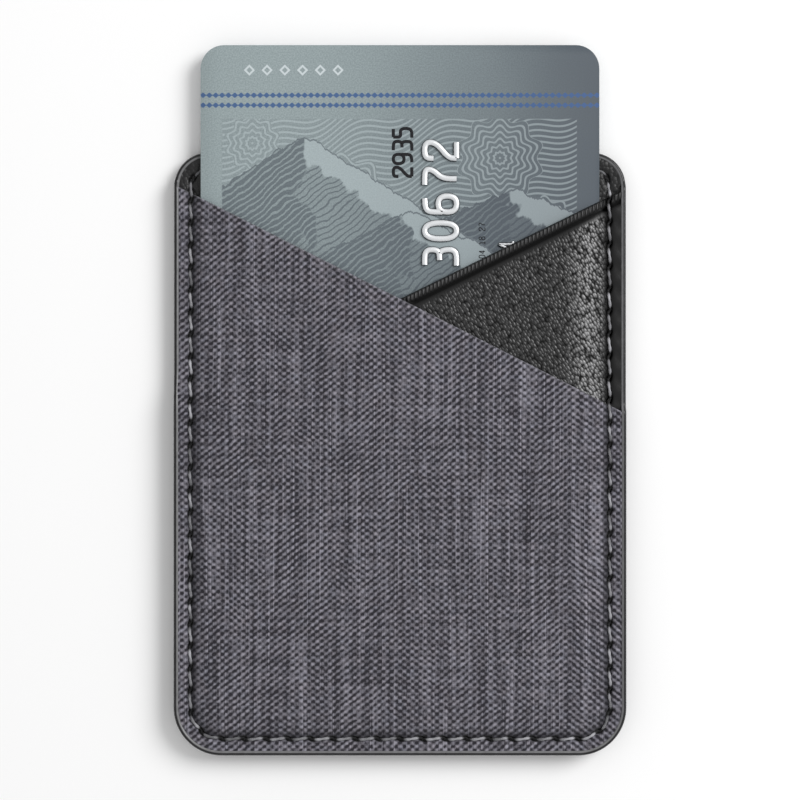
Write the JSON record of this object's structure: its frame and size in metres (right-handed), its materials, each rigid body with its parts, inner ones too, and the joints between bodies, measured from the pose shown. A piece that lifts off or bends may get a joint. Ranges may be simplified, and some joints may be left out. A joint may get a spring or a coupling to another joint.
{
  "type": "stick-on phone card holder",
  "caption": "Slim stick-on card holder for a phone back: grey fabric panel crossing a black leather panel, stitched round the edge, with a card standing out of its pocket.",
  "frame": {"origin": "centre of the sticking side, on the outer face of its release liner", "axes": "+Z out of the holder's front, away from the phone; +Y towards the pocket's mouth and the card's free end; +X across the width, to the right seen from the front"},
  "size_m": [0.0612, 0.0961, 0.0043],
  "materials": {
    "liner": "matt",
    "pad": "matt acrylic foam",
    "back": "smooth black",
    "leather": "black pebble grain, semi-gloss",
    "fabric": "grey melange weave",
    "thread": "grey twisted thread",
    "coat": "satin black edge paint",
    "card": "silver blue, satin"
  },
  "bodies": {
    "root": {"release_liner": "liner", "adhesive_pad": "pad", "back_panel": "back", "leather_panel": "leather", "fabric_panel": "fabric", "needle_thread": "thread", "bobbin_thread": "thread", "edge_coating": "coat", "card": "card"}
  },
  "joints": []
}
